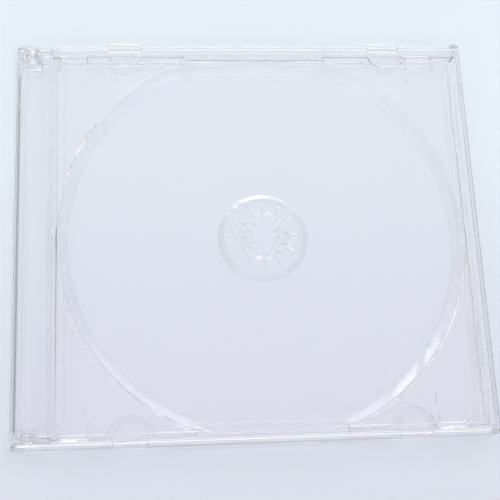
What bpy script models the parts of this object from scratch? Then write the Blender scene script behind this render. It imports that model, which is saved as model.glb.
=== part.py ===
"""A clear case for one disc, in three moulded pieces: the lid, the base and the disc tray.

X runs from the spine (-X) to the opening edge (+X), Y runs along the spine and Z is up. The case is
closed and lies flat, and the origin is under its middle. The lid swings on two short pins that sit in
sockets at the spine end of the base. The tray clips into the base, and its hub holds the disc.
"""
import math

import bmesh
import bpy
from mathutils import Matrix

MM = 0.001

# The disc that the case is made round
DISC_RADIUS = 60.0 * MM
DISC_THICKNESS = 1.2 * MM
DISC_HOLE_RADIUS = 7.5 * MM

# Clearances
FIT_GAP = 0.3 * MM
LID_FOOT_GAP = 0.3 * MM
DISC_EDGE_GAP = 1.1 * MM
DISC_LIFT_GAP = 0.9 * MM
SPINE_CARD_GAP = 1.2 * MM

# Lid
LID_PANEL_THICKNESS = 1.2 * MM
LID_WALL_THICKNESS = 1.4 * MM
LID_EDGE_GAP = 1.5 * MM
LID_CORNER_RADIUS = 2.5 * MM
ARM_SETBACK = 0.15 * MM

# Half-moon tabs of the lid, which hold a booklet, and the slots over them
TAB_RADIUS = 5.0 * MM
TAB_ROOT = 0.6 * MM
TAB_THICKNESS = 1.0 * MM
BOOKLET_SLOT = 1.8 * MM
TAB_NOTCH_GAP = 2.0 * MM
TAB_CLIP_GAP = 0.3 * MM

# Hinge
PIN_RADIUS = 1.4 * MM
PIN_LENGTH = 3.0 * MM
SOCKET_WALL = 1.0 * MM
SOCKET_DEPTH = 4.0 * MM

# Base
BASE_PANEL_THICKNESS = 1.1 * MM
SPINE_WALL_THICKNESS = 1.1 * MM
RIM_THICKNESS = 1.1 * MM
RIM_DROP = 0.5 * MM
EAR_RADIUS = 1.5 * MM
BASE_CORNER_RADIUS = 1.6 * MM

# Tray
TRAY_FLOOR_THICKNESS = 0.9 * MM
TRAY_WALL = 1.0 * MM
BOWL_WALL = 2.0 * MM
PLATEAU_DROP = 0.8 * MM
STRIP_WIDTH = 9.2 * MM
STRIP_DROP = 0.8 * MM
STRIP_EDGE_RADIUS = 0.5 * MM
CHANNEL_WIDTH = 3.4 * MM
CHANNEL_DEPTH = 0.5 * MM
RECESS_FLOOR_INSET = 0.2 * MM
RECESS_DRAFT = 2.6 * MM
RECESS_END_MARGIN = 1.7 * MM
LEDGE_LENGTH = 44.6 * MM
LEDGE_WIDTH = 3.2 * MM
LEDGE_RISE = 1.0 * MM
LIP_WIDTH = 1.1 * MM
LIP_RISE = 1.4 * MM
LIP_END_INSET = 2.4 * MM
SERRATION_PITCH = 1.2 * MM
SERRATION_DEPTH = 1.0 * MM
OUTER_SERRATION_START = 25.0 * MM
OUTER_SERRATION_TEETH = 15
MIDDLE_SERRATION_START = 0.6 * MM
MIDDLE_SERRATION_TEETH = 7

# Clips that hold the tray in the base
CLIP_FROM_STRIP = 6.3 * MM
CLIP_FROM_OPEN_END = 10.5 * MM
CLIP_WIDTH = 8.0 * MM
CLIP_REACH = 1.0 * MM
CLIP_THICKNESS = 2.0 * MM
CLIP_SLIT_WIDTH = 0.8 * MM
CLIP_SLIT_LENGTH = 4.0 * MM

# Small stops on the tray's corners
STOP_FROM_STRIP = 9.3 * MM
STOP_FROM_OPEN_END = 14.8 * MM
STOP_EDGE_INSET = 7.9 * MM
STOP_LENGTH = 3.0 * MM
STOP_WIDTH = 1.0 * MM
STOP_RISE = 0.6 * MM

# Hub
HUB_SEAT_RISE = 1.6 * MM
HUB_FOOT_RADIUS = 14.0 * MM
HUB_SEAT_RADIUS = 12.1 * MM
HUB_PLATE_THICKNESS = 1.0 * MM
FINGER_COUNT = 12
FINGER_SLIT_WIDTH = 1.3 * MM
FINGER_SLIT_MARGIN = 1.3 * MM
HUB_BORE_RADIUS = 3.4 * MM
TOOTH_TOP_OVER_DISC = 1.0 * MM
TOOTH_HOOK_OVER_DISC = 0.25 * MM
TOOTH_HOOK_SLOPE = 0.75 * MM
TOOTH_HOOK = 0.15 * MM
TOOTH_CLEARANCE = 0.2 * MM
TOOTH_CROWN = 0.8 * MM
TOOTH_FOOT = 2.4 * MM

# Heights over the table, from the bottom up
TRAY_UNDERSIDE = BASE_PANEL_THICKNESS + FIT_GAP
TRAY_FLOOR = TRAY_UNDERSIDE + TRAY_FLOOR_THICKNESS
DISC_SEAT = TRAY_FLOOR + HUB_SEAT_RISE
TAB_UNDERSIDE = DISC_SEAT + DISC_THICKNESS + DISC_LIFT_GAP
TAB_TOP = TAB_UNDERSIDE + TAB_THICKNESS
PANEL_UNDERSIDE = TAB_TOP + BOOKLET_SLOT
CASE_HEIGHT = PANEL_UNDERSIDE + LID_PANEL_THICKNESS
RIM_TOP = TAB_UNDERSIDE - RIM_DROP
PLATEAU_TOP = TAB_UNDERSIDE - PLATEAU_DROP
CHANNEL_FLOOR = PLATEAU_TOP - CHANNEL_DEPTH
LEDGE_TOP = TRAY_FLOOR + LEDGE_RISE
STRIP_TOP = CASE_HEIGHT - STRIP_DROP
HUB_PLATE_UNDERSIDE = DISC_SEAT - HUB_PLATE_THICKNESS
TOOTH_HOOK_HEIGHT = DISC_SEAT + DISC_THICKNESS + TOOTH_HOOK_OVER_DISC
TOOTH_TOP = DISC_SEAT + DISC_THICKNESS + TOOTH_TOP_OVER_DISC

# Lengths along X, built out from the disc's recess
RECESS_FLOOR_RADIUS = DISC_RADIUS - RECESS_FLOOR_INSET
RECESS_TOP_RADIUS = RECESS_FLOOR_RADIUS + RECESS_DRAFT
RECESS_SLOPE = RECESS_DRAFT / (PLATEAU_TOP - TRAY_FLOOR)
DISC_BAY_LENGTH = 2 * (RECESS_TOP_RADIUS + RECESS_END_MARGIN)
TRAY_LENGTH = STRIP_WIDTH + DISC_BAY_LENGTH
CASE_LENGTH = TRAY_LENGTH + 2 * (SPINE_WALL_THICKNESS + SPINE_CARD_GAP)
SPINE_X = -CASE_LENGTH / 2
OPEN_X = CASE_LENGTH / 2
TRAY_SPINE_X = -TRAY_LENGTH / 2
TRAY_OPEN_X = TRAY_LENGTH / 2
STRIP_INNER_X = TRAY_SPINE_X + STRIP_WIDTH
LID_EDGE_X = STRIP_INNER_X + LID_EDGE_GAP
DISC_X = (STRIP_INNER_X + TRAY_OPEN_X) / 2

# The tray's clips and stops, and the lid's tabs, which stand beside the clips of the open end
CLIP_SPINE_X = STRIP_INNER_X + CLIP_FROM_STRIP
CLIP_OPEN_X = TRAY_OPEN_X - CLIP_FROM_OPEN_END
STOP_SPINE_X = STRIP_INNER_X + STOP_FROM_STRIP
STOP_OPEN_X = TRAY_OPEN_X - STOP_FROM_OPEN_END
CLIP_REGION = CLIP_WIDTH / 2 + CLIP_SLIT_WIDTH
TAB_OPEN_X = CLIP_OPEN_X - CLIP_REGION - TAB_CLIP_GAP - TAB_NOTCH_GAP - TAB_RADIUS
TAB_SPINE_X = 2 * DISC_X - TAB_OPEN_X

# Half widths along Y
LID_WALL_INNER = DISC_RADIUS + DISC_EDGE_GAP
CASE_HALF_WIDTH = LID_WALL_INNER + LID_WALL_THICKNESS
BASE_HALF_WIDTH = LID_WALL_INNER - FIT_GAP
RIM_INNER = BASE_HALF_WIDTH - RIM_THICKNESS
TRAY_HALF_WIDTH = RIM_INNER - FIT_GAP

# Hinge axis, at half the height of the lid's side walls so that the open lid lies flat
ARM_RADIUS = (CASE_HEIGHT - LID_FOOT_GAP) / 2
PIN_X = SPINE_X + ARM_SETBACK + ARM_RADIUS
PIN_Z = LID_FOOT_GAP + ARM_RADIUS
SOCKET_BORE_RADIUS = PIN_RADIUS + FIT_GAP
SOCKET_RADIUS = SOCKET_BORE_RADIUS + SOCKET_WALL

# How far a shape that is joined runs into its neighbour, and a cutter out past its wall
OVERLAP = 0.4 * MM
CUT_PAST = 2.0 * MM

# How far an outer rounding starts off the faces that it joins, so that it crosses them cleanly
ROUNDING_START = 0.05 * MM

# Facets of round shapes, and the angle past which an edge is a crease
RECESS_SEGMENTS = 144
HUB_SEGMENTS = 72
ROD_SEGMENTS = 32
ARC_STEP_ANGLE = math.radians(9)
CREASE_ANGLE = math.radians(30)

SIDES = (-1, 1)


def clear_scene():
    for old in list(bpy.data.objects):
        bpy.data.objects.remove(old, do_unlink=True)


def clear_polystyrene(name, colour, roughness):
    material = bpy.data.materials.new(name)
    material.use_nodes = True
    shader = material.node_tree.nodes["Principled BSDF"]
    shader.inputs["Base Color"].default_value = (*colour, 1.0)
    shader.inputs["Metallic"].default_value = 0.0
    shader.inputs["Roughness"].default_value = roughness
    shader.inputs["IOR"].default_value = 1.59
    shader.inputs["Transmission Weight"].default_value = 1.0
    return material


def lid_plastic():
    return clear_polystyrene("lid_plastic", (0.96, 0.97, 0.99), 0.03)


def base_plastic():
    return clear_polystyrene("base_plastic", (0.94, 0.96, 0.99), 0.05)


def tray_plastic():
    return clear_polystyrene("tray_plastic", (0.95, 0.96, 0.99), 0.04)


def new_object(name, mesh_builder, round_sides=False):
    mesh_builder.normal_update()
    bmesh.ops.recalc_face_normals(mesh_builder, faces=mesh_builder.faces)
    mesh = bpy.data.meshes.new(name)
    mesh_builder.to_mesh(mesh)
    mesh_builder.free()
    if round_sides:
        mesh.shade_smooth()
        mesh.set_sharp_from_angle(angle=CREASE_ANGLE)
    body = bpy.data.objects.new(name, mesh)
    bpy.context.scene.collection.objects.link(body)
    return body


def arc_points(centre, radius, start, end):
    """Points on an arc about centre, from one angle in degrees to another, both ends included."""
    first, turn = math.radians(start), math.radians(end - start)
    steps = math.ceil(abs(turn) / ARC_STEP_ANGLE - 1e-6)
    angles = [first + turn * step / steps for step in range(steps + 1)]
    return [(centre[0] + radius * math.cos(a), centre[1] + radius * math.sin(a)) for a in angles]


def extruded(name, outline, plane, low, high):
    """A closed outline in the XY, XZ or YZ plane, carried along the third axis from low to high."""
    axes = ["XYZ".index(letter) for letter in plane]
    third = 3 - sum(axes)
    shape = bmesh.new()
    corners = []
    for point in outline:
        place = [low, low, low]
        place[axes[0]], place[axes[1]] = point
        corners.append(shape.verts.new(place))
    carried = bmesh.ops.extrude_face_region(shape, geom=[shape.faces.new(corners)])
    for part in carried["geom"]:
        if isinstance(part, bmesh.types.BMVert):
            part.co[third] = high
    return new_object(name, shape)


def slab(name, x_range, y_range, z_range):
    (x0, x1), (y0, y1) = sorted(x_range), sorted(y_range)
    return extruded(name, [(x0, y0), (x1, y0), (x1, y1), (x0, y1)], "XY", *z_range)


def turned(name, profile, centre_x, segments):
    """A closed (radius, height) profile turned about a vertical axis at centre_x."""
    shape = bmesh.new()
    start = [shape.verts.new((centre_x + radius, 0.0, height)) for radius, height in profile]
    ring = [shape.edges.new((start[i - 1], start[i])) for i in range(len(start))]
    bmesh.ops.spin(
        shape, geom=start + ring, cent=(centre_x, 0.0, 0.0), axis=(0.0, 0.0, 1.0),
        angle=2 * math.pi, steps=segments, use_merge=True, use_normal_flip=False, use_duplicate=False,
    )
    bmesh.ops.remove_doubles(shape, verts=shape.verts, dist=MM / 1000)
    return new_object(name, shape, round_sides=True)


def cone(name, centre_x, foot, top, segments):
    """A solid cone frustum between two (radius, height) ends."""
    shape = bmesh.new()
    made = bmesh.ops.create_cone(
        shape, cap_ends=True, segments=segments, radius1=foot[0], radius2=top[0], depth=top[1] - foot[1],
    )
    bmesh.ops.translate(shape, verts=made["verts"], vec=(centre_x, 0.0, (foot[1] + top[1]) / 2))
    return new_object(name, shape, round_sides=True)


def rod(name, x, z, radius, y_range):
    """A round bar along Y."""
    shape = bmesh.new()
    length = y_range[1] - y_range[0]
    made = bmesh.ops.create_cone(
        shape, cap_ends=True, segments=ROD_SEGMENTS, radius1=radius, radius2=radius, depth=length,
    )
    turn = Matrix.Rotation(math.pi / 2, 4, "X")
    place = Matrix.Translation((x, (y_range[0] + y_range[1]) / 2, z))
    bmesh.ops.transform(shape, matrix=place @ turn, verts=made["verts"])
    return new_object(name, shape, round_sides=True)


def boolean(body, tool, operation):
    tool.hide_render = True
    tool.display_type = "WIRE"
    step = body.modifiers.new(tool.name, "BOOLEAN")
    step.operation = operation
    step.solver = "EXACT"
    step.object = tool


def add(body, tool):
    boolean(body, tool, "UNION")


def cut(body, tool):
    boolean(body, tool, "DIFFERENCE")


def arch(x, y_edge, side, radius, straight):
    """Half-moon outline in XY that stands on the line y = y_edge and points to the case's middle."""
    spring = y_edge - side * straight
    bow = arc_points((x, spring), radius, 0, -180 * side)
    return [(x + radius, y_edge)] + bow + [(x - radius, y_edge)]


def lid_side_outline():
    """Side of the lid in XZ, round about the hinge pin and with a rounded foot at the open end."""
    hinge_end = arc_points((PIN_X, PIN_Z), ARM_RADIUS, 270, 90)
    corner = (OPEN_X - LID_CORNER_RADIUS, LID_FOOT_GAP + LID_CORNER_RADIUS)
    front_foot = arc_points(corner, LID_CORNER_RADIUS, 0, -90)
    return hinge_end + [(OPEN_X, CASE_HEIGHT)] + front_foot


def front_lid():
    lid = extruded(
        "front_lid",
        [(LID_EDGE_X, -CASE_HALF_WIDTH), (OPEN_X, -CASE_HALF_WIDTH),
         (OPEN_X, CASE_HALF_WIDTH), (LID_EDGE_X, CASE_HALF_WIDTH)],
        "XY", PANEL_UNDERSIDE, CASE_HEIGHT,
    )
    for side in SIDES:
        end = "near" if side < 0 else "far"
        wall_range = sorted((side * LID_WALL_INNER, side * CASE_HALF_WIDTH))
        add(lid, extruded(f"lid_wall_{end}", lid_side_outline(), "XZ", *wall_range))
        for corner, tab_x in (("spine", TAB_SPINE_X), ("open", TAB_OPEN_X)):
            place = f"{end}_{corner}"
            slot_y = (side * (LID_WALL_INNER - CUT_PAST), side * (CASE_HALF_WIDTH + CUT_PAST))
            slot_x = (tab_x - TAB_RADIUS, tab_x + TAB_RADIUS)
            cut(lid, slab(f"booklet_slot_{place}", slot_x, slot_y, (TAB_TOP, PANEL_UNDERSIDE)))
            root = side * (LID_WALL_INNER + OVERLAP)
            outline = arch(tab_x, root, side, TAB_RADIUS, TAB_ROOT + OVERLAP)
            add(lid, extruded(f"booklet_tab_{place}", outline, "XY", TAB_UNDERSIDE, TAB_TOP))
        pin_range = sorted((side * (LID_WALL_INNER + OVERLAP), side * (LID_WALL_INNER - PIN_LENGTH)))
        add(lid, rod(f"hinge_pin_{end}", PIN_X, PIN_Z, PIN_RADIUS, pin_range))
    lid.data.materials.append(lid_plastic())
    return lid


def socket_outline(radius, foot):
    """Round boss about the hinge pin, carried straight down to the height foot."""
    over = arc_points((PIN_X, PIN_Z), radius, 0, 180)
    return [(PIN_X + radius, foot)] + over + [(PIN_X - radius, foot)]


def base_side_outline():
    """Low rim of the base in XZ, with a rounded ear over the hinge and the full height at the open end."""
    ear_centre = (STRIP_INNER_X - EAR_RADIUS, STRIP_TOP - EAR_RADIUS)
    ear = arc_points(ear_centre, EAR_RADIUS, 90, 0)
    open_step = OPEN_X - SPINE_WALL_THICKNESS
    return (
        [(SPINE_X, 0.0), (SPINE_X, STRIP_TOP)] + ear
        + [(STRIP_INNER_X, RIM_TOP), (open_step, RIM_TOP)]
        + [(open_step, PANEL_UNDERSIDE - FIT_GAP), (OPEN_X, PANEL_UNDERSIDE - FIT_GAP), (OPEN_X, 0.0)]
    )


def outside_spine_corner(side):
    """Waste outline in XY outside the rounded upright corner at the spine."""
    inset = BASE_CORNER_RADIUS - ROUNDING_START
    round_x, round_y = SPINE_X + inset, side * (BASE_HALF_WIDTH - inset)
    past_x, past_y = SPINE_X - CUT_PAST, side * (BASE_HALF_WIDTH + CUT_PAST)
    corner = arc_points((round_x, round_y), BASE_CORNER_RADIUS, 90 * side, 180 * side)
    return [(past_x, past_y), (round_x, past_y)] + corner + [(past_x, round_y)]


def back_base():
    panel_top = BASE_PANEL_THICKNESS
    inner_spine = SPINE_X + SPINE_WALL_THICKNESS
    inner_open = OPEN_X - SPINE_WALL_THICKNESS
    front_top = PANEL_UNDERSIDE - FIT_GAP
    channel = [
        (SPINE_X, 0.0), (OPEN_X, 0.0), (OPEN_X, front_top), (inner_open, front_top),
        (inner_open, panel_top), (inner_spine, panel_top), (inner_spine, STRIP_TOP), (SPINE_X, STRIP_TOP),
    ]
    base = extruded("back_base", channel, "XZ", -BASE_HALF_WIDTH, BASE_HALF_WIDTH)
    clip_half = CLIP_WIDTH / 2 + FIT_GAP
    clip_foot = PLATEAU_TOP - CLIP_THICKNESS - FIT_GAP
    ledge_half = LEDGE_LENGTH / 2 + FIT_GAP
    for side in SIDES:
        end = "near" if side < 0 else "far"
        rim_range = sorted((side * RIM_INNER, side * BASE_HALF_WIDTH))
        cut_range = (side * (RIM_INNER - CUT_PAST), side * (BASE_HALF_WIDTH + CUT_PAST))
        add(base, extruded(f"rim_{end}", base_side_outline(), "XZ", *rim_range))
        socket_range = sorted((side * (BASE_HALF_WIDTH - SOCKET_DEPTH), side * (RIM_INNER + OVERLAP)))
        outline = socket_outline(SOCKET_RADIUS, BASE_PANEL_THICKNESS - OVERLAP)
        add(base, extruded(f"socket_{end}", outline, "XZ", *socket_range))
        bore_end = BASE_HALF_WIDTH - SOCKET_DEPTH - CUT_PAST
        bore_range = sorted((side * bore_end, side * (BASE_HALF_WIDTH + CUT_PAST)))
        cut(base, rod(f"socket_bore_{end}", PIN_X, PIN_Z, SOCKET_BORE_RADIUS, bore_range))
        for place, clip_x in (("spine", CLIP_SPINE_X), ("open", CLIP_OPEN_X)):
            notch_x = (clip_x - clip_half, clip_x + clip_half)
            cut(base, slab(f"clip_notch_{end}_{place}", notch_x, cut_range, (clip_foot, RIM_TOP + CUT_PAST)))
        ledge_x = (DISC_X - ledge_half, DISC_X + ledge_half)
        cut(base, slab(f"disc_gap_{end}", ledge_x, cut_range, (LEDGE_TOP, RIM_TOP + CUT_PAST)))
        waste = outside_spine_corner(side)
        cut(base, extruded(f"spine_corner_{end}", waste, "XY", -CUT_PAST, STRIP_TOP + CUT_PAST))
    base.data.materials.append(base_plastic())
    return base


def tray_outline():
    """Outer section of the tray in XZ: the raised hinge strip, the channel beside it and the plateau."""
    left_top = arc_points(
        (TRAY_SPINE_X + STRIP_EDGE_RADIUS, STRIP_TOP - STRIP_EDGE_RADIUS), STRIP_EDGE_RADIUS, 180, 90)
    right_top = arc_points(
        (STRIP_INNER_X - STRIP_EDGE_RADIUS, STRIP_TOP - STRIP_EDGE_RADIUS), STRIP_EDGE_RADIUS, 90, 0)
    channel_end = STRIP_INNER_X + CHANNEL_WIDTH
    return (
        [(TRAY_SPINE_X, TRAY_UNDERSIDE)] + left_top + right_top
        + [(STRIP_INNER_X, CHANNEL_FLOOR), (channel_end, CHANNEL_FLOOR), (channel_end, PLATEAU_TOP)]
        + [(TRAY_OPEN_X, PLATEAU_TOP), (TRAY_OPEN_X, TRAY_UNDERSIDE)]
    )


def hollow_under_plateau():
    """Space under the tray's corners, one wall thickness inside its edges and round its recess."""
    foot = TRAY_UNDERSIDE - CUT_PAST
    channel_end = STRIP_INNER_X + CHANNEL_WIDTH
    section = [
        (STRIP_INNER_X + TRAY_WALL, foot), (TRAY_OPEN_X - TRAY_WALL, foot),
        (TRAY_OPEN_X - TRAY_WALL, PLATEAU_TOP - TRAY_WALL),
        (channel_end + TRAY_WALL, PLATEAU_TOP - TRAY_WALL),
        (channel_end, CHANNEL_FLOOR - TRAY_WALL),
        (STRIP_INNER_X + TRAY_WALL, CHANNEL_FLOOR - TRAY_WALL),
    ]
    half = TRAY_HALF_WIDTH - TRAY_WALL
    hollow = extruded("corner_hollow", section, "XZ", -half, half)

    def shell_radius(height):
        return RECESS_FLOOR_RADIUS + (height - TRAY_FLOOR) * RECESS_SLOPE + BOWL_WALL

    low, high = foot - CUT_PAST, PLATEAU_TOP + CUT_PAST
    shell = ((shell_radius(low), low), (shell_radius(high), high))
    cut(hollow, cone("bowl_shell", DISC_X, *shell, RECESS_SEGMENTS))
    return hollow


def serrated_lip():
    """Lip along the open end, with three stretches of fine grip teeth cut in its top edge."""
    top = PLATEAU_TOP + LIP_RISE
    foot = PLATEAU_TOP - OVERLAP
    end = TRAY_HALF_WIDTH - LIP_END_INSET
    outer_length = OUTER_SERRATION_TEETH * SERRATION_PITCH
    stretches = (
        (-OUTER_SERRATION_START - outer_length, OUTER_SERRATION_TEETH),
        (MIDDLE_SERRATION_START, MIDDLE_SERRATION_TEETH),
        (OUTER_SERRATION_START, OUTER_SERRATION_TEETH),
    )
    outline = [(end, foot), (-end, foot), (-end, top)]
    for start, teeth in stretches:
        for tooth in range(teeth):
            y = start + tooth * SERRATION_PITCH
            outline += [(y, top), (y + SERRATION_PITCH / 2, top - SERRATION_DEPTH)]
        outline.append((start + teeth * SERRATION_PITCH, top))
    outline.append((end, top))
    return extruded("serrated_lip", outline, "YZ", TRAY_OPEN_X - LIP_WIDTH, TRAY_OPEN_X)


def add_ledges(tray):
    """Low straight ledges where the disc reaches past the tray's long edges."""
    floor_edge = TRAY_HALF_WIDTH - LEDGE_WIDTH
    half = LEDGE_LENGTH / 2
    for side in SIDES:
        end = "near" if side < 0 else "far"
        section = [
            (side * (floor_edge - OVERLAP), TRAY_FLOOR - OVERLAP),
            (side * (floor_edge + LEDGE_RISE + OVERLAP), LEDGE_TOP + OVERLAP),
            (side * (TRAY_HALF_WIDTH - OVERLAP), LEDGE_TOP + OVERLAP),
            (side * (TRAY_HALF_WIDTH - OVERLAP), TRAY_FLOOR - OVERLAP),
        ]
        add(tray, extruded(f"ledge_{end}", section, "YZ", DISC_X - half, DISC_X + half))
        over_y = (side * (floor_edge - CUT_PAST), side * (TRAY_HALF_WIDTH + CUT_PAST))
        over_x = (DISC_X - half, DISC_X + half)
        cut(tray, slab(f"over_ledge_{end}", over_x, over_y, (LEDGE_TOP, PLATEAU_TOP + CUT_PAST)))


def add_edge_details(tray):
    """Clips with their slits, notches under the lid's tabs, room for the hinge sockets, and the stops."""
    for side in SIDES:
        end = "near" if side < 0 else "far"
        for corner, tab_x in (("spine", TAB_SPINE_X), ("open", TAB_OPEN_X)):
            place = f"{end}_{corner}"
            outline = arch(tab_x, side * (TRAY_HALF_WIDTH + CUT_PAST), side, TAB_RADIUS + TAB_NOTCH_GAP,
                           TAB_ROOT + CUT_PAST - (LID_WALL_INNER - TRAY_HALF_WIDTH))
            cut(tray, extruded(f"tab_notch_{place}", outline, "XY", LEDGE_TOP, PLATEAU_TOP + CUT_PAST))
        for place, clip_x in (("spine", CLIP_SPINE_X), ("open", CLIP_OPEN_X)):
            for edge in SIDES:
                clip_edge = clip_x + edge * CLIP_WIDTH / 2
                slit_range = (clip_edge, clip_edge + edge * CLIP_SLIT_WIDTH)
                slit_y = (side * (TRAY_HALF_WIDTH - CLIP_SLIT_LENGTH), side * (TRAY_HALF_WIDTH + CUT_PAST))
                name = f"clip_slit_{end}_{place}_{'left' if edge < 0 else 'right'}"
                cut(tray, slab(name, slit_range, slit_y, (TRAY_UNDERSIDE - CUT_PAST, PLATEAU_TOP + CUT_PAST)))
            hook = [
                (side * (TRAY_HALF_WIDTH - OVERLAP), PLATEAU_TOP - CLIP_THICKNESS),
                (side * (TRAY_HALF_WIDTH + CLIP_REACH), PLATEAU_TOP - CLIP_THICKNESS / 2),
                (side * (TRAY_HALF_WIDTH + CLIP_REACH), PLATEAU_TOP),
                (side * (TRAY_HALF_WIDTH - OVERLAP), PLATEAU_TOP),
            ]
            clip_range = (clip_x - CLIP_WIDTH / 2, clip_x + CLIP_WIDTH / 2)
            add(tray, extruded(f"clip_{end}_{place}", hook, "YZ", *clip_range))
        room = socket_outline(SOCKET_RADIUS + FIT_GAP, TRAY_UNDERSIDE - CUT_PAST)
        room_end = BASE_HALF_WIDTH - SOCKET_DEPTH - FIT_GAP
        room_range = sorted((side * room_end, side * (TRAY_HALF_WIDTH + CUT_PAST)))
        cut(tray, extruded(f"socket_room_{end}", room, "XZ", *room_range))
        for place, stop_x in (("spine", STOP_SPINE_X), ("open", STOP_OPEN_X)):
            middle = side * (TRAY_HALF_WIDTH - STOP_EDGE_INSET)
            reach = (STOP_LENGTH - STOP_WIDTH) / 2
            outline = arc_points((stop_x, middle + reach), STOP_WIDTH / 2, 0, 180)
            outline += arc_points((stop_x, middle - reach), STOP_WIDTH / 2, 180, 360)
            heights = (PLATEAU_TOP - OVERLAP, PLATEAU_TOP + STOP_RISE)
            add(tray, extruded(f"stop_{end}_{place}", outline, "XY", *heights))


def finger_slits():
    """Twelve radial slits that part the hub's plate and teeth into springy fingers."""
    shape = bmesh.new()
    inner = HUB_BORE_RADIUS - OVERLAP
    outer = HUB_SEAT_RADIUS - FINGER_SLIT_MARGIN
    low, high = TRAY_UNDERSIDE - CUT_PAST, TOOTH_TOP + CUT_PAST
    half = FINGER_SLIT_WIDTH / 2
    for finger in range(FINGER_COUNT):
        angle = 2 * math.pi * finger / FINGER_COUNT
        along, across = (math.cos(angle), math.sin(angle)), (-math.sin(angle), math.cos(angle))
        corners = []
        for reach, offset in ((inner, -half), (outer, -half), (outer, half), (inner, half)):
            x = DISC_X + reach * along[0] + offset * across[0]
            y = reach * along[1] + offset * across[1]
            corners.append(shape.verts.new((x, y, low)))
        carried = bmesh.ops.extrude_face_region(shape, geom=[shape.faces.new(corners)])
        moved = [part for part in carried["geom"] if isinstance(part, bmesh.types.BMVert)]
        bmesh.ops.translate(shape, verts=moved, vec=(0.0, 0.0, high - low))
    return new_object("finger_slits", shape)


def add_hub(tray):
    """The hub: a raised seat for the disc round a rosette of toothed spring fingers."""
    foot = (HUB_FOOT_RADIUS, TRAY_FLOOR)
    seat = (HUB_SEAT_RADIUS, DISC_SEAT)
    slope = (seat[0] - foot[0]) / (seat[1] - foot[1])
    low = TRAY_FLOOR - OVERLAP
    add(tray, cone("hub_seat", DISC_X, (foot[0] + (low - foot[1]) * slope, low), seat, HUB_SEGMENTS))
    tooth_face = DISC_HOLE_RADIUS - TOOTH_CLEARANCE
    hook = DISC_HOLE_RADIUS + TOOTH_HOOK
    tooth = [
        (tooth_face, DISC_SEAT - OVERLAP), (tooth_face, TOOTH_HOOK_HEIGHT - TOOTH_HOOK_SLOPE),
        (hook, TOOTH_HOOK_HEIGHT), (tooth_face, TOOTH_TOP),
        (tooth_face - TOOTH_CROWN, TOOTH_TOP), (tooth_face - TOOTH_FOOT, DISC_SEAT - OVERLAP),
    ]
    add(tray, turned("teeth", tooth, DISC_X, HUB_SEGMENTS))
    under = TRAY_UNDERSIDE - CUT_PAST
    under_foot = (foot[0] - TRAY_WALL + (under - foot[1]) * slope, under)
    under_top = (foot[0] - TRAY_WALL + (HUB_PLATE_UNDERSIDE - foot[1]) * slope, HUB_PLATE_UNDERSIDE)
    cut(tray, cone("hub_hollow", DISC_X, under_foot, under_top, HUB_SEGMENTS))
    cut(tray, finger_slits())
    bore = ((HUB_BORE_RADIUS, under), (HUB_BORE_RADIUS, TOOTH_TOP + CUT_PAST))
    cut(tray, cone("hub_bore", DISC_X, *bore, HUB_SEGMENTS))


def disc_tray():
    tray = extruded("disc_tray", tray_outline(), "XZ", -TRAY_HALF_WIDTH, TRAY_HALF_WIDTH)
    strip_hollow = [
        (TRAY_SPINE_X + TRAY_WALL, TRAY_UNDERSIDE - CUT_PAST),
        (STRIP_INNER_X - TRAY_WALL, TRAY_UNDERSIDE - CUT_PAST),
        (STRIP_INNER_X - TRAY_WALL, STRIP_TOP - TRAY_WALL),
        (TRAY_SPINE_X + TRAY_WALL, STRIP_TOP - TRAY_WALL),
    ]
    half = TRAY_HALF_WIDTH - TRAY_WALL
    cut(tray, extruded("strip_hollow", strip_hollow, "XZ", -half, half))
    cut(tray, hollow_under_plateau())
    rim = (RECESS_TOP_RADIUS + CUT_PAST * RECESS_SLOPE, PLATEAU_TOP + CUT_PAST)
    cut(tray, cone("disc_recess", DISC_X, (RECESS_FLOOR_RADIUS, TRAY_FLOOR), rim, RECESS_SEGMENTS))
    add(tray, serrated_lip())
    add_ledges(tray)
    add_edge_details(tray)
    add_hub(tray)
    tray.data.materials.append(tray_plastic())
    return tray


def place_lid_on_hinge(lid):
    """The lid's origin goes to the middle of its hinge axis, with its shape left where it is."""
    tools = [step.object for step in lid.modifiers]
    for body in [lid] + tools:
        for corner in body.data.vertices:
            corner.co.x -= PIN_X
            corner.co.z -= PIN_Z
        body.location = (PIN_X, 0.0, PIN_Z)


clear_scene()
place_lid_on_hinge(front_lid())
back_base()
disc_tray()
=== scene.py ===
"""A closed clear case for one disc, lying on a pale table in soft studio light."""
import math

import bpy
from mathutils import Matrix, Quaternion, Vector


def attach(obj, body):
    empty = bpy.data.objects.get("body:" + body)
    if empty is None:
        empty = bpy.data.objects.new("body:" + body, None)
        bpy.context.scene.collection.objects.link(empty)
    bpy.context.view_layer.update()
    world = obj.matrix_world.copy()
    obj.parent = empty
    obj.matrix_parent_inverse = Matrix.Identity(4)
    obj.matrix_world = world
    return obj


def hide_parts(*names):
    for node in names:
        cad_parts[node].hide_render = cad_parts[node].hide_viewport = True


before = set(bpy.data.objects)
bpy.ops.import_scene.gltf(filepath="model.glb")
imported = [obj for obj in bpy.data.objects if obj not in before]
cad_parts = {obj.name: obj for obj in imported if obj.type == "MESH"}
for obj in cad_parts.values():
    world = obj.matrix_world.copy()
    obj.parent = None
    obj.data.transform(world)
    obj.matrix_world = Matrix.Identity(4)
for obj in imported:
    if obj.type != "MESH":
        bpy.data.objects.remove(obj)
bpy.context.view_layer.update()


# Base.
# The bottom half of the case: a flat panel with two tall spine walls and low rims, injection moulded
# in one piece from clear polystyrene. The lid's pins turn in the round sockets beside its hinge wall.
MOULD_EDGE_RADIUS = 0.00022
EDGE_SEGMENTS = 2
CREASE_ANGLE = math.radians(30)
SMOOTH_ANGLE = math.radians(50)
MERGE_DISTANCE = 0.000002
FLAT_ANGLE = math.radians(1)
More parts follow.
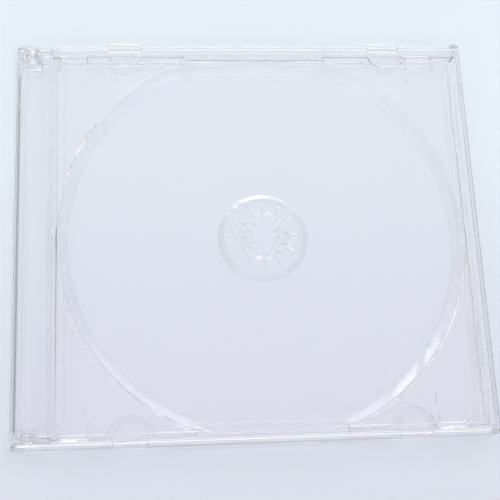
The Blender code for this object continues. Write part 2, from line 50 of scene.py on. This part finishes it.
FLAT_FACE_WEIGHT = 100
PLASTIC_TINT = (0.991, 0.987, 0.993)
PLASTIC_IOR = 1.59
POLISH = 0.004
HANDLING_HAZE = 0.02
HAZE_SCALE = 90.0
HAZE_DETAIL = 4.0
HAZE_START = 0.45
HAZE_FULL = 0.75
WAVE_SCALE = 160.0
WAVE_DETAIL = 1.0
WAVE_STRENGTH = 0.25
WAVE_DEPTH = 0.00002


def eased_copy(name, node, edge_radius):
    """A moulding as it leaves its tool: the node's own shape with every sharp edge slightly rounded."""
    bpy.ops.object.select_all(action="DESELECT")
    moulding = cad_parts[node].copy()
    moulding.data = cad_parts[node].data.copy()
    moulding.name = name
    moulding.data.name = name
    moulding.parent = None
    for key in list(moulding.keys()):
        del moulding[key]
    bpy.context.scene.collection.objects.link(moulding)
    bpy.context.view_layer.objects.active = moulding
    moulding.select_set(True)
    bpy.ops.object.mode_set(mode="EDIT")
    bpy.ops.mesh.select_mode(type="EDGE")
    bpy.ops.mesh.select_all(action="SELECT")
    bpy.ops.mesh.remove_doubles(threshold=MERGE_DISTANCE)
    bpy.ops.mesh.dissolve_limited(angle_limit=FLAT_ANGLE)
    bpy.ops.mesh.select_all(action="DESELECT")
    bpy.ops.mesh.edges_select_sharp(sharpness=CREASE_ANGLE)
    bpy.ops.mesh.bevel(
        offset=edge_radius, segments=EDGE_SEGMENTS, profile=0.5, clamp_overlap=False, loop_slide=False
    )
    bpy.ops.object.mode_set(mode="OBJECT")
    bpy.ops.object.shade_smooth_by_angle(angle=SMOOTH_ANGLE)
    flat_faces = moulding.modifiers.new("flat_faces_stay_flat", "WEIGHTED_NORMAL")
    flat_faces.weight = FLAT_FACE_WEIGHT
    flat_faces.keep_sharp = True
    bpy.ops.object.modifier_apply(modifier=flat_faces.name)
    return moulding


def clear_polystyrene(name):
    """Polished clear plastic with faint mould waves and fine handling marks."""
    material = bpy.data.materials.new(name)
    material.use_nodes = True
    nodes, links = material.node_tree.nodes, material.node_tree.links
    shader = nodes["Principled BSDF"]
    shader.inputs["Base Color"].default_value = (*PLASTIC_TINT, 1.0)
    shader.inputs["Metallic"].default_value = 0.0
    shader.inputs["IOR"].default_value = PLASTIC_IOR
    shader.inputs["Transmission Weight"].default_value = 1.0
    place = nodes.new("ShaderNodeTexCoord")

    clouds = nodes.new("ShaderNodeTexNoise")
    clouds.inputs["Scale"].default_value = HAZE_SCALE
    clouds.inputs["Detail"].default_value = HAZE_DETAIL
    links.new(place.outputs["Object"], clouds.inputs["Vector"])
    dullness = nodes.new("ShaderNodeMapRange")
    dullness.inputs["From Min"].default_value = HAZE_START
    dullness.inputs["From Max"].default_value = HAZE_FULL
    dullness.inputs["To Min"].default_value = POLISH
    dullness.inputs["To Max"].default_value = HANDLING_HAZE
    links.new(clouds.outputs["Fac"], dullness.inputs["Value"])
    links.new(dullness.outputs["Result"], shader.inputs["Roughness"])

    waves = nodes.new("ShaderNodeTexNoise")
    waves.inputs["Scale"].default_value = WAVE_SCALE
    waves.inputs["Detail"].default_value = WAVE_DETAIL
    links.new(place.outputs["Object"], waves.inputs["Vector"])
    surface = nodes.new("ShaderNodeBump")
    surface.inputs["Strength"].default_value = WAVE_STRENGTH
    surface.inputs["Distance"].default_value = WAVE_DEPTH
    links.new(waves.outputs["Fac"], surface.inputs["Height"])
    links.new(surface.outputs["Normal"], shader.inputs["Normal"])
    return material


base = eased_copy("base_moulding", "back_base", MOULD_EDGE_RADIUS)
base.data.materials.clear()
base.data.materials.append(clear_polystyrene("base_clear_plastic"))
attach(base, "base")
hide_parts("back_base")


# Disc tray.
# The moulding that holds the disc: a raised hinge strip, a round recess and a hub of twelve toothed
# spring fingers, moulded in one piece from clear polystyrene. Four clips snap it into the base. Its
# edges are rounded less than the base's, because it has thinner walls.
THIN_EDGE_RADIUS = 0.00013

tray = eased_copy("tray_moulding", "disc_tray", THIN_EDGE_RADIUS)
tray.data.materials.clear()
tray.data.materials.append(clear_polystyrene("tray_clear_plastic"))
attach(tray, "base")
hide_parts("disc_tray")


# Lid.
# The top half of the case: a flat window with two side walls, four half-moon tabs for a booklet and
# two hinge pins, moulded in one piece from clear polystyrene. The pins snap into the base's sockets.
lid = eased_copy("lid_moulding", "front_lid", MOULD_EDGE_RADIUS)
lid.data.materials.clear()
lid.data.materials.append(clear_polystyrene("lid_clear_plastic"))
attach(lid, "lid")
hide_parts("front_lid")


# Table.
# The case lies on a smooth pale table top with a slight sheen. Its colour carries painted light falloff:
# painted light, lighter and cooler, at its far side and painted shade, darker and more lavender, towards
# its near side. It stands a hair below the case's underside, so that the two faces don't share one plane.
TABLE_SIZE = 3.0
TABLE_TOP = -0.0001
TABLE_SQUARES = 8
TABLE_ROUGHNESS = 0.35
TABLE_SHEEN = 0.3
TABLE_FAR_PAINTED_LIGHT = (0.84, 0.91, 0.975)
TABLE_NEAR_PAINTED_SHADE = (0.735, 0.755, 0.857)
TABLE_SHADE_START = -0.10
TABLE_SHADE_END = 0.03

bpy.ops.object.select_all(action="DESELECT")
bpy.ops.mesh.primitive_grid_add(
    x_subdivisions=TABLE_SQUARES,
    y_subdivisions=TABLE_SQUARES,
    size=TABLE_SIZE,
    location=(0.0, 0.0, TABLE_TOP),
)
bpy.ops.object.transform_apply(location=True, rotation=False, scale=False)
table = bpy.context.object
table.name = "table_top"
pale_table_painted_falloff = bpy.data.materials.new("pale_table_painted_falloff")
pale_table_painted_falloff.use_nodes = True
nodes, links = pale_table_painted_falloff.node_tree.nodes, pale_table_painted_falloff.node_tree.links
shader = nodes["Principled BSDF"]
shader.inputs["Roughness"].default_value = TABLE_ROUGHNESS
shader.inputs["Specular IOR Level"].default_value = TABLE_SHEEN
place = nodes.new("ShaderNodeTexCoord")
parts = nodes.new("ShaderNodeSeparateXYZ")
links.new(place.outputs["Object"], parts.inputs["Vector"])
# Painted light and shade: the table's colour runs from the darker near colour to the lighter far colour
# along its Y, standing in for light that falls off towards the near side.
painted_falloff = nodes.new("ShaderNodeMapRange")
painted_falloff.inputs["From Min"].default_value = TABLE_SHADE_START
painted_falloff.inputs["From Max"].default_value = TABLE_SHADE_END
links.new(parts.outputs["Y"], painted_falloff.inputs["Value"])
painted_shade = nodes.new("ShaderNodeMix")
painted_shade.data_type = "RGBA"
painted_shade.inputs["A"].default_value = (*TABLE_NEAR_PAINTED_SHADE, 1.0)
painted_shade.inputs["B"].default_value = (*TABLE_FAR_PAINTED_LIGHT, 1.0)
links.new(painted_falloff.outputs["Result"], painted_shade.inputs["Factor"])
links.new(painted_shade.outputs["Result"], shader.inputs["Base Color"])
table.data.materials.append(pale_table_painted_falloff)


# Light.
# Soft studio light: a pale room that is dimmer at its left and right, a broad soft box overhead, and two
# wide ones low behind the case and in front of it. Clear edges that run across the picture catch a bright
# line from these, and edges that run away from the eye a darker one from the room's sides.
ROOM_LIGHT = 0.92
ROOM_SIDE_LIGHT = 0.48
ROOM_SIDE_START = 0.60
ROOM_SIDE_END = 0.95
SOFT_BOX_WIDTH = 1.90
SOFT_BOX_HEIGHT = 0.24
SOFT_BOX_DISTANCE = 0.80
SOFT_BOX_GRID = 105
NO_GRID = 180
SOFT_BOX_POWER = 1.45
OVERHEAD_BOX_SIZE = 1.30
OVERHEAD_BOX_PLACE = (0.12, 0.34, 1.10)
OVERHEAD_BOX_POWER = 0.7

room = bpy.data.worlds.new("pale_room")
bpy.context.scene.world = room
room.use_nodes = True
nodes, links = room.node_tree.nodes, room.node_tree.links
direction = nodes.new("ShaderNodeTexCoord")
parts = nodes.new("ShaderNodeSeparateXYZ")
links.new(direction.outputs["Generated"], parts.inputs["Vector"])
sideways = nodes.new("ShaderNodeMath")
sideways.operation = "ABSOLUTE"
links.new(parts.outputs["X"], sideways.inputs["Value"])
light = nodes.new("ShaderNodeMapRange")
light.interpolation_type = "SMOOTHSTEP"
light.inputs["From Min"].default_value = ROOM_SIDE_START
light.inputs["From Max"].default_value = ROOM_SIDE_END
light.inputs["To Min"].default_value = ROOM_LIGHT
light.inputs["To Max"].default_value = ROOM_SIDE_LIGHT
links.new(sideways.outputs["Value"], light.inputs["Value"])
links.new(light.outputs["Result"], nodes["Background"].inputs["Color"])


def soft_box(name, place, tilt, width, height, grid, power):
    """A rectangular soft box, its angles in degrees. Neither the camera nor the table's sheen shows it."""
    light = bpy.data.lights.new(name, "AREA")
    light.shape = "RECTANGLE"
    light.size = width
    light.size_y = height
    light.spread = math.radians(grid)
    light.energy = power
    lamp = bpy.data.objects.new(name, light)
    lamp.location = place
    lamp.rotation_euler = (math.radians(tilt), 0.0, 0.0)
    lamp.visible_camera = False
    lamp.visible_glossy = False
    bpy.context.scene.collection.objects.link(lamp)


for name, side in (("soft_box_far", 1), ("soft_box_near", -1)):
    place = (0.0, side * SOFT_BOX_DISTANCE, SOFT_BOX_HEIGHT / 2)
    soft_box(name, place, -90 * side, SOFT_BOX_WIDTH, SOFT_BOX_HEIGHT, SOFT_BOX_GRID, SOFT_BOX_POWER)
size = OVERHEAD_BOX_SIZE
soft_box("soft_box_overhead", OVERHEAD_BOX_PLACE, 0, size, size, NO_GRID, OVERHEAD_BOX_POWER)


# Camera.
# It looks steeply down from the near side, a little left of the case's middle. Light inside the plastic
# is followed for many turns, because it runs a long way between the faces before it comes out.
CAMERA_PLACE = (-0.0376, -0.0984, 0.3391)
CAMERA_TARGET = (0.0009, 0.0116, 0.0050)
CAMERA_ROLL = math.radians(17.54)
CAMERA_LENS = 82.2
CAMERA_SENSOR = 36.0
CAMERA_SHIFT = -0.1
CAMERA_NEAREST = 0.01
PLASTIC_TURNS = 52
TABLE_TURNS = 6

lens = bpy.data.cameras.new("camera")
lens.lens = CAMERA_LENS
lens.sensor_width = CAMERA_SENSOR
lens.shift_y = CAMERA_SHIFT
lens.clip_start = CAMERA_NEAREST
camera = bpy.data.objects.new("camera", lens)
camera.location = CAMERA_PLACE
sight = Vector(CAMERA_TARGET) - Vector(CAMERA_PLACE)
camera.rotation_mode = "QUATERNION"
camera.rotation_quaternion = sight.to_track_quat("-Z", "Y") @ Quaternion((0.0, 0.0, 1.0), CAMERA_ROLL)
bpy.context.scene.collection.objects.link(camera)
bpy.context.scene.camera = camera
bpy.context.scene.view_settings.view_transform = "Standard"
bpy.context.scene.cycles.max_bounces = PLASTIC_TURNS
bpy.context.scene.cycles.transmission_bounces = PLASTIC_TURNS
bpy.context.scene.cycles.glossy_bounces = PLASTIC_TURNS
bpy.context.scene.cycles.diffuse_bounces = TABLE_TURNS
bpy.context.scene.cycles.blur_glossy = 0.0
